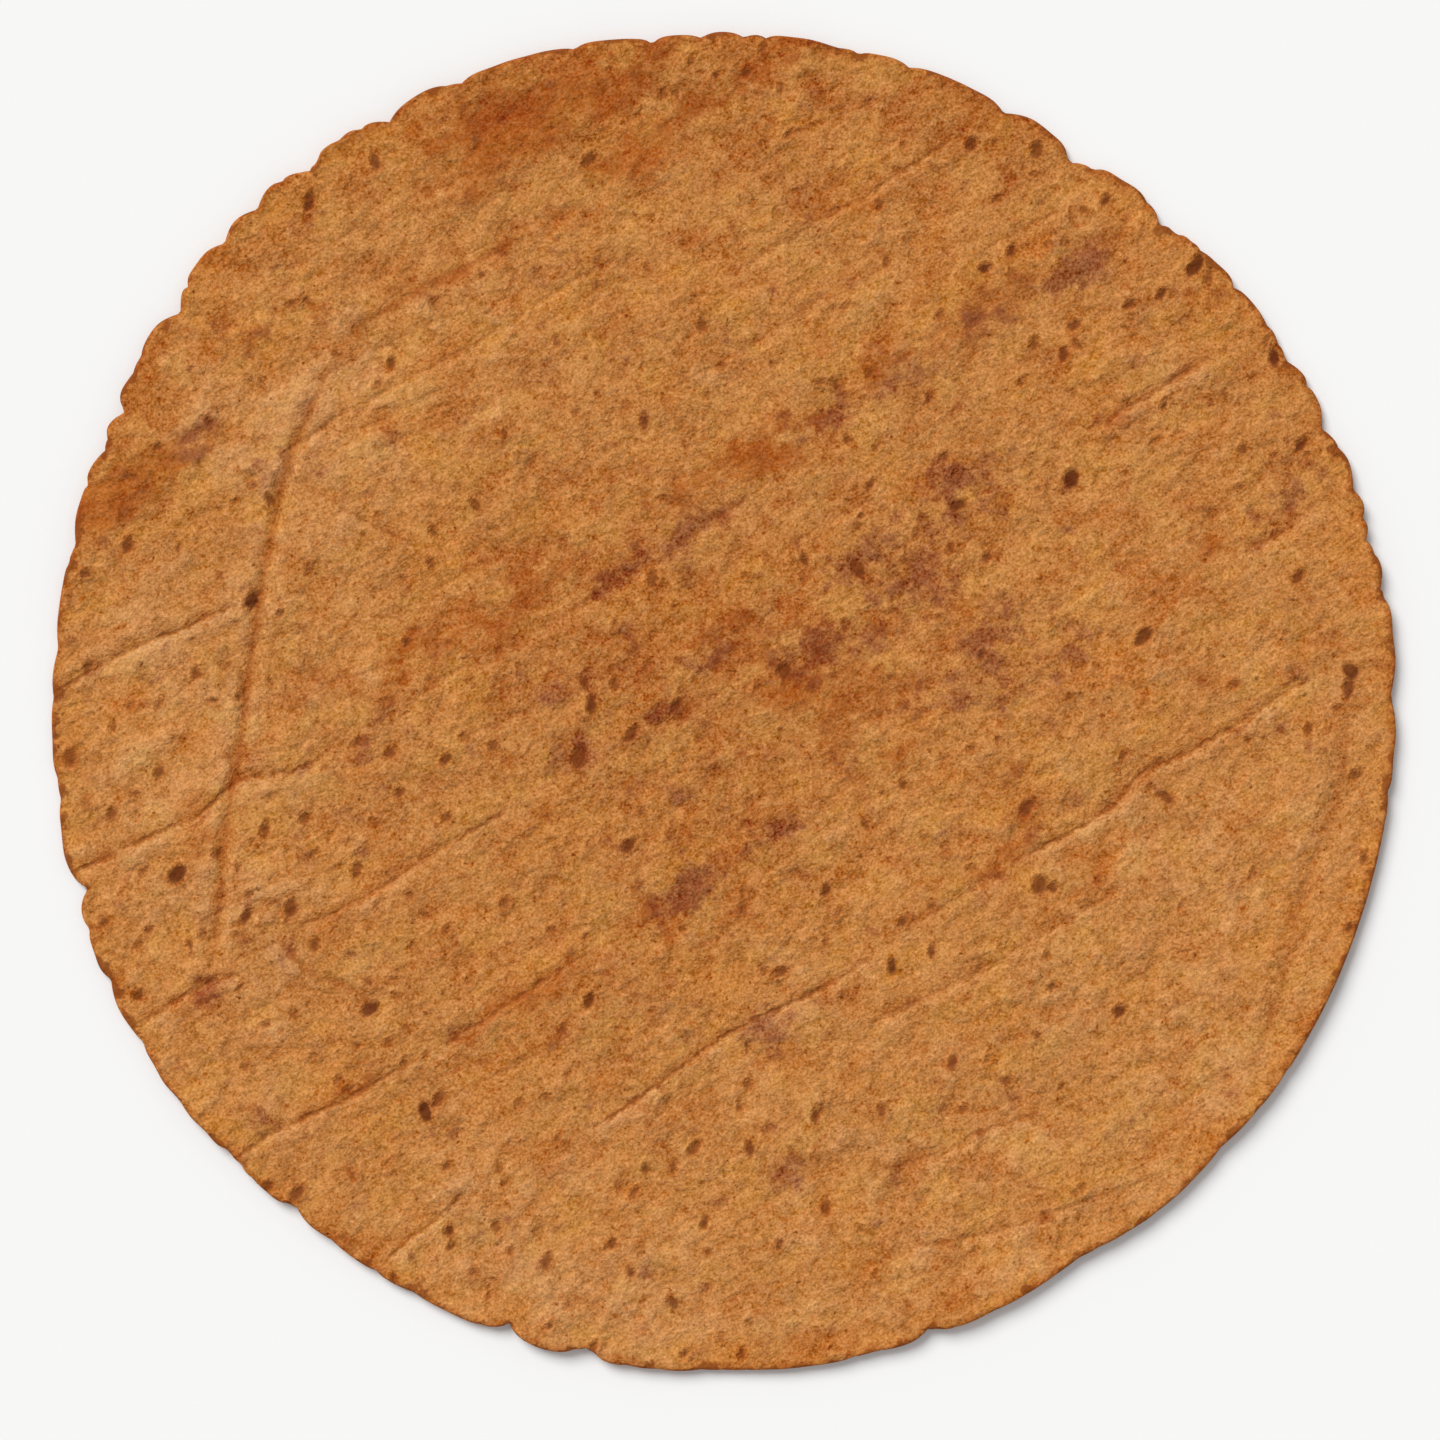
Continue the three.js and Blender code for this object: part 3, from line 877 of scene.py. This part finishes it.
def lumps(place, size, detail=2.0, roughness=0.5, shift=0.0):
    """Soft noise about a half, in lumps of about size millimetres."""
    moved = place.vector("ADD", place, (shift, -shift, 2 * shift))
    inputs = {"Vector": moved, "Scale": 1 / size, "Detail": detail, "Roughness": roughness}
    return place.node("ShaderNodeTexNoise", {"noise_dimensions": "3D"}, inputs)


def shaken(place, size, reach):
    """A place pushed about at random by roughly reach millimetres, in lumps of about size."""
    inputs = {"Vector": place, "Scale": 1 / size, "Detail": 2.0}
    push = place.node("ShaderNodeTexNoise", {"noise_dimensions": "3D"}, inputs, output="Color")
    return place.vector("ADD", place, push.vector("SUBTRACT", push, (0.5, 0.5, 0.5)).scaled(6 * reach))


def scattered(place, size, output):
    """Scattered cells of about size millimetres, by one output: the distance from the cell's middle, as
    a part of the cell, the place of that middle, or a random colour for each cell."""
    inputs = {"Vector": place, "Scale": 1 / size, "Randomness": 1.0}
    settings = {"voronoi_dimensions": "3D", "feature": "F1"}
    return place.node("ShaderNodeTexVoronoi", settings, inputs, output=output)


def dots(place, size, shift=0.0):
    """Scattered cells: the distance from each one's middle, and a random number for each."""
    moved = place.vector("ADD", place, (shift, shift, -shift))
    number = place.node("ShaderNodeSeparateColor", {}, {0: scattered(moved, size, "Color")}, output=0)
    return scattered(moved, size, "Distance"), number


def shingles(place, size, shift=0.0):
    """Cells that tilt like shingles: how far up a place lies from its cell's middle, across the grain,
    times a random number for each cell."""
    moved = place.vector("ADD", place, (shift, shift, -shift))
    number = place.node("ShaderNodeSeparateColor", {}, {0: scattered(moved, size, "Color")}, output=1)
    offset = moved.vector("SUBTRACT", moved, scattered(moved, size, "Position"))
    across = place.node("ShaderNodeSeparateXYZ", {}, {0: offset}, output=1)
    return across * number.between(0.35, 0.95)


def valleys(noise, width):
    """Thin valleys where a noise crosses a half: one along their middle, and nothing where the noise
    is width away from a half."""
    return abs(noise - 0.5).between(width, 0.0)


def tinted(base, tint, amount):
    """The base colour times a tint, by an amount of 0 to 1."""
    settings = {"data_type": "RGBA", "blend_type": "MULTIPLY"}
    return amount.node("ShaderNodeMix", settings, {0: amount, 6: base, 7: tint}, output=2)


TAN = colour(198, 131, 69)
CHAR = colour(94, 36, 8)
HERB = colour(140, 72, 24)
DARKEST = (0.006, 0.004, 0.002)

# What mottling, stains, paler and darker patches, painted shade and painted highlight let through
# of the dough's red, green and blue.
PALER = (1.13, 1.29, 1.72, 1.0)
YELLOWER = (1.04, 1.12, 0.98, 1.0)
REDDER = (0.85, 0.65, 0.44, 1.0)
BROWNER = (0.75, 0.55, 0.38, 1.0)
GOLDEN = (1.02, 0.94, 0.74, 1.0)
PURPLER = (0.60, 0.47, 0.60, 1.0)
CRUMB_TINT = (1.50, 0.86, 0.40)     # how a lighter or darker crumb, from grain and painted light and shade, shifts each channel

DOUGH_ROUGHNESS = 0.84
DOUGH_GLOSS = 0.1

# What multiplies a place along, across and through the sheet before a noise reads it: the first draws
# the noise out along the grain, and the second hardly does.
DRAWN_OUT = (0.80, 1.0, 2.5)
NEARLY_EVEN = (0.95, 1.0, 2.5)

# Noises over the dough: size of the lumps in mm, detail, roughness and shift.
EVEN_NOISES = {
    "fine": (0.5, 2.0, 0.65, 0.0),
    "crumb": (1.5, 2.0, 0.6, 13),
    "pebbles": (3.2, 1.0, 0.5, 17),
    "ragged": (2.8, 3.0, 0.6, 97),
    "blotch": (5.0, 3.0, 0.55, 201),
}
DRAWN_NOISES = {
    "mottle": (5.5, 3.0, 0.6, 29),
    "cloud": (17.0, 3.0, 0.5, 47),
    "hue": (7.0, 2.5, 0.5, 71),
    "golden": (15.0, 3.0, 0.6, 251),
}

# The place drawn out along the grain, the nearly even one, and the noises that read them.
Noise = namedtuple("Noise", ["drawn", "even", *EVEN_NOISES, *DRAWN_NOISES])

# The finest relief's heights and depths, in mm, where its noises and masks differ by one.
FINE_RISE = 0.16
CRUMB_RISE = 0.42
PEBBLE_RISE = 0.75
SMALL_SHINGLE_RISE = 0.11
LARGE_SHINGLE_RISE = 0.06
FLAKE_DEPTH = 0.25
WRINKLE_DEPTH = 0.08
CRINKLE_DEPTH = 0.05
SPECK_DEPTH = 0.05
CRACK_DEPTH = 0.22
LIP_RISE = 0.08
GROOVE_DEPTH = 0.08
FLECK_DEPTH = 0.18
FLECK_RING_RISE = 0.10


def dough_noise(start):
    """The two places, in mm with +X along the grain, and the noises over them."""
    here = start.node("ShaderNodeTexCoord", output="Object").scaled(1 / MM)
    rotation = (0, 0, -math.radians(GRAIN_TURN))
    turned = start.node(
        "ShaderNodeMapping", {"vector_type": "POINT"}, {"Vector": here, "Rotation": rotation}
    )
    drawn = turned.vector("MULTIPLY", turned, DRAWN_OUT)
    even = turned.vector("MULTIPLY", turned, NEARLY_EVEN)
    even_noises = {name: lumps(even, *values) for name, values in EVEN_NOISES.items()}
    drawn_noises = {name: lumps(drawn, *values) for name, values in DRAWN_NOISES.items()}
    return Noise(drawn=drawn, even=even, **even_noises, **drawn_noises)


def plain_crumb(noise):
    """The crumb's colour: tan, paler and browner in broad patches, towards -Y and with noise, with
    yellower, golden and redder mottling, and with painted light and shade that make the raised relief
    and bumps paler and their hollows browner."""
    tone = noise.even.mark("paleness") + (noise.cloud - 0.5) * 1.3 + (noise.mottle - 0.5) * 1.0
    # Painted light and shade: the sheet's relief, and the pebbles and crumb that also raise the bump, make
    # raised places paler and hollows browner.
    tone = tone + noise.even.mark("relief") * 1.3
    tone = tone + (noise.pebbles - 0.5) * 0.9 + (noise.crumb - 0.5) * 0.4
    redness = noise.hue - 0.5 + (noise.cloud - 0.5) * 0.9 - tone * 0.05
    skin = tinted(TAN, PALER, tone.between(0.0, 1.1))
    skin = tinted(skin, BROWNER, tone.between(0.0, -1.2) * 0.8)
    skin = tinted(skin, YELLOWER, (noise.hue - 0.5).between(0.02, -0.18) * 0.7)
    skin = tinted(skin, GOLDEN, (noise.golden - 0.5).between(-0.04, 0.2) * 0.75)
    return tinted(skin, REDDER, redness.between(0.0, 0.3) * 0.7)


def stained(skin, noise, broken):
    """The skin with its red and purple stains, broken up by noise, and how much of each is there."""
    purple = skin.mark("purple_stain") + (noise.blotch - 0.5) * 3.4 + (noise.ragged - 0.5) * 2.0
    purple = purple.between(0.25, 1.4)
    red = skin.mark("red_stain") * 0.9 + broken * 1.2 + (noise.blotch - 0.5) * 1.5
    red = red.between(0.3, 1.4)
    skin = tinted(skin, REDDER, red * (0.95 - 0.6 * purple))
    return tinted(skin, PURPLER, purple), red, purple


def speckled(skin, noise):
    """The skin with small reddish spots, and with brown specks of random size, and the specks' mask."""
    spots = lumps(noise.even, 2.0, detail=3.0, roughness=0.6, shift=113).between(0.56, 0.70)
    skin = tinted(skin, REDDER, spots * 0.8)
    distance, number = dots(shaken(noise.even, 1.8, 0.35), 2.4)
    edge = 0.10 + 0.17 * number
    specks = (distance + (noise.fine - 0.5) * 0.1).between(edge, edge * 0.4)
    return blended(skin, HERB, specks * (0.75 - 0.35 * number)), specks


def crumbly(skin, noise, red, purple):
    """The skin with each crumb a little lighter or darker, partly as grain and partly as painted light
    and shade that make raised crumbs paler and sunken ones darker, and less so in the stains.
    """
    # Partly painted light and shade: fine and crumb also raise the bump, so raised crumbs are paler.
    shift = (noise.fine - 0.5) * 0.54 + (noise.crumb - 0.5) * 0.24
    shift = shift * (1 - 0.45 * red - 0.25 * purple)
    tint = shift.node("ShaderNodeCombineXYZ", {}, dict(enumerate(CRUMB_TINT))).scaled(shift)
    skin = skin.vector("ADD", skin, tint)
    return skin.vector("MAXIMUM", skin, DARKEST)


def creased(skin, noise, broken):
    """The skin with its folds and grooves, and the masks of cracks, lips and grooves. A fold is a thin
    brown line of painted shade along its crack, wavering with the crumb, in a soft red stain, with a
    painted highlight on the lip beside it. A groove is browner with painted shade."""
    waver = (noise.crumb - 0.5) * 1.3 + (noise.ragged - 0.5) * 1.5
    across = skin.mark("fold_across") + waver
    strength = skin.mark("fold_strength")
    uneven = (noise.mottle - 0.5) * 2.2 + (noise.ragged - 0.5) * 1.4 + 0.55
    crack = across.bell(0.34) * strength * uneven.limited(0.2, 1.0)
    lip = (across - 0.9).bell(0.55) * strength
    skin = tinted(skin, REDDER, (across.bell(1.6) * strength * (0.1 + broken * 1.5)).limited())
    # Painted highlight: the lip beside a fold is made paler.
    skin = tinted(skin, PALER, (lip * 0.5).limited())
    # Painted shade: a thin brown line along the fold's trough.
    skin = blended(skin, HERB, crack.limited(0.0, 0.8))
    groove_across = skin.mark("groove_across") + waver * 0.5
    groove = groove_across.bell(0.8) * skin.mark("groove_strength")
    # Painted shade: the groove is made browner.
    skin = tinted(skin, BROWNER, (groove * (0.5 + noise.mottle * 0.5)).limited())
    return skin, crack, lip, groove


def flecked(skin, noise):
    """The skin with its herb flecks and charred spots, each in a reddish halo, and the masks of the
    flecks and of the raised ring round each."""
    gap = skin.mark("fleck_gap") + (noise.fine - 0.5) * 0.3 + (noise.crumb - 0.5) * 0.7
    fleck = gap.between(0.4, -0.5)
    ring = (gap - 0.7).bell(0.4)
    shade = skin.mark("fleck_shade").limited()
    skin = tinted(skin, REDDER, gap.between(1.2, 0.0) * 0.55)
    amount = fleck * (0.85 - 0.35 * shade + (noise.fine - 0.5) * 0.6)
    return blended(skin, blended(CHAR, HERB, shade), amount), fleck, ring


def toasted(skin, noise):
    """The skin with its rim, which is more orange and has a thin darker edge, singed in places."""
    depth = skin.mark("rim_depth")
    skin = tinted(skin, GOLDEN, (depth + (noise.mottle - 0.5) * 12).between(8.0, 1.0) * 0.5)
    skin = tinted(skin, BROWNER, (depth + (noise.ragged - 0.5) * 6).between(1.8, 0.1) * 0.8)
    singed = (depth + (noise.blotch - 0.5) * 12 + (noise.ragged - 0.5) * 6).between(0.4, -0.6)
    return blended(skin, HERB, singed * 0.8)


def crumb_relief(noise):
    """The crumb's own relief, in mm: grains, pebbles, tilted shingles of two sizes, flakes with sharp
    valleys between them, and wrinkles and smaller crinkles that stand in patches."""
    small_shingles = shingles(shaken(noise.even, 3.0, 0.5), 3.4)
    large_shingles = shingles(shaken(noise.even, 5.0, 1.0), 7.0, shift=83)
    flakes, _ = dots(shaken(noise.drawn, 4.0, 0.8), 4.5, shift=31)
    wrinkle = valleys(lumps(noise.drawn, 6.0, detail=2.0, shift=131), 0.075)
    wrinkle = wrinkle * lumps(noise.drawn, 11.0, detail=1.0, shift=151).between(0.42, 0.58)
    crinkle = valleys(lumps(noise.even, 3.0, detail=1.0, shift=163), 0.08)
    crinkle = crinkle * lumps(noise.drawn, 8.0, detail=1.0, shift=171).between(0.38, 0.60)
    return (
        (noise.fine - 0.5) * FINE_RISE
        + (noise.crumb - 0.5) * CRUMB_RISE
        + (noise.pebbles - 0.5) * PEBBLE_RISE
        + (small_shingles * SMALL_SHINGLE_RISE + large_shingles * LARGE_SHINGLE_RISE)
        - flakes * flakes * FLAKE_DEPTH
        - wrinkle * WRINKLE_DEPTH
        - crinkle * CRINKLE_DEPTH
    )


def baked_dough():
    """The dough: a mottled tan crumb with red and purple stains, brown specks and flecks, browned folds
    and an orange rim that is darker at its edge and singed in places, with painted shade in the folds'
    troughs, the grooves, the relief's hollows and the sunken crumbs, painted light on the folds' lips,
    the raised relief and the raised crumbs, and the finest relief as bump."""
    material = bpy.data.materials.new("baked_dough")
    material.use_nodes = True
    material.node_tree.nodes.clear()
    start = Wire(material.node_tree, None)
    noise = dough_noise(start)
    broken = (noise.ragged - 0.5) * 1.8 + (noise.hue - 0.5) * 1.6

    skin = plain_crumb(noise)
    skin, red, purple = stained(skin, noise, broken)
    skin, specks = speckled(skin, noise)
    skin = crumbly(skin, noise, red, purple)
    skin, crack, lip, groove = creased(skin, noise, broken)
    skin, fleck, ring = flecked(skin, noise)
    skin = toasted(skin, noise)

    height = (
        crumb_relief(noise)
        - specks * SPECK_DEPTH
        - crack * CRACK_DEPTH
        + lip * LIP_RISE
        - groove * GROOVE_DEPTH
        - fleck * FLECK_DEPTH
        + ring * FLECK_RING_RISE
    )
    normal = height.node("ShaderNodeBump", {}, {"Strength": 1.0, "Distance": MM, "Height": height})
    roughness = DOUGH_ROUGHNESS + (noise.crumb - 0.5) * 0.25 - fleck * 0.12
    shader = start.node("ShaderNodeBsdfPrincipled", {}, {
        "Base Color": skin,
        "Roughness": roughness,
        "Specular IOR Level": DOUGH_GLOSS,
        "Normal": normal,
    })
    start.node("ShaderNodeOutputMaterial", {}, {"Surface": shader}, output=None)
    return material


# ---------------------------------------------------------------- floor, light and camera

FLOOR_SIZE = 6.0
VIEW_WIDTH = 0.2739         # how much of the floor the view takes in, at the sheet
LENS = 100.0
VIEW_OFFSET = (-0.0006, -0.0035)
FLOOR_GAP = 0.05            # how far under the sheet the floor lies, in mm
FLOOR_COLOUR = (0.93, 0.93, 0.925, 1.0)
FLOOR_ROUGHNESS = 0.9
FLOOR_GLOSS = 0.1
SURROUND_COLOUR = (1.0, 1.0, 1.0, 1.0)
SURROUND_STRENGTH = 0.43
LAMP_STRENGTH = 2.55
LAMP_WIDTH = 34             # how wide the lamp looks from the sheet, in degrees
LAMP_TURN = (0, -45, -52)   # in degrees


def make_floor():
    """A wide pale matt floor just under the sheet."""
    half = FLOOR_SIZE / 2
    level = -FLOOR_GAP * MM
    corners = [(-half, -half, level), (half, -half, level), (half, half, level), (-half, half, level)]
    mesh = bpy.data.meshes.new("floor")
    mesh.from_pydata(corners, [], [(0, 1, 2, 3)])
    floor = bpy.data.objects.new("floor", mesh)
    bpy.context.collection.objects.link(floor)
    material = bpy.data.materials.new("pale_floor")
    material.use_nodes = True
    shader = material.node_tree.nodes["Principled BSDF"]
    shader.inputs["Base Color"].default_value = FLOOR_COLOUR
    shader.inputs["Roughness"].default_value = FLOOR_ROUGHNESS
    shader.inputs["Specular IOR Level"].default_value = FLOOR_GLOSS
    mesh.materials.append(material)


def make_light():
    """Soft light from the upper left, and an even white surround."""
    world = bpy.data.worlds.new("studio")
    world.use_nodes = True
    background = world.node_tree.nodes["Background"]
    background.inputs["Color"].default_value = SURROUND_COLOUR
    background.inputs["Strength"].default_value = SURROUND_STRENGTH
    bpy.context.scene.world = world
    lamp = bpy.data.lights.new("softbox", "SUN")
    lamp.energy = LAMP_STRENGTH
    lamp.angle = math.radians(LAMP_WIDTH)
    softbox = bpy.data.objects.new("softbox", lamp)
    softbox.rotation_euler = [math.radians(turn) for turn in LAMP_TURN]
    bpy.context.collection.objects.link(softbox)


def make_camera():
    """A long lens looking straight down, with +Y at the top of the view."""
    data = bpy.data.cameras.new("camera")
    data.lens = LENS
    camera = bpy.data.objects.new("camera", data)
    distance = VIEW_WIDTH * LENS / data.sensor_width
    camera.location = (VIEW_OFFSET[0], VIEW_OFFSET[1], distance)
    bpy.context.collection.objects.link(camera)
    bpy.context.scene.camera = camera


make_camera()
make_light()
make_floor()
bpy.context.scene.view_settings.view_transform = "Standard"

tortilla = make_sheet()
tortilla.data.materials.append(baked_dough())
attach(tortilla, "root")
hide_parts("tortilla")
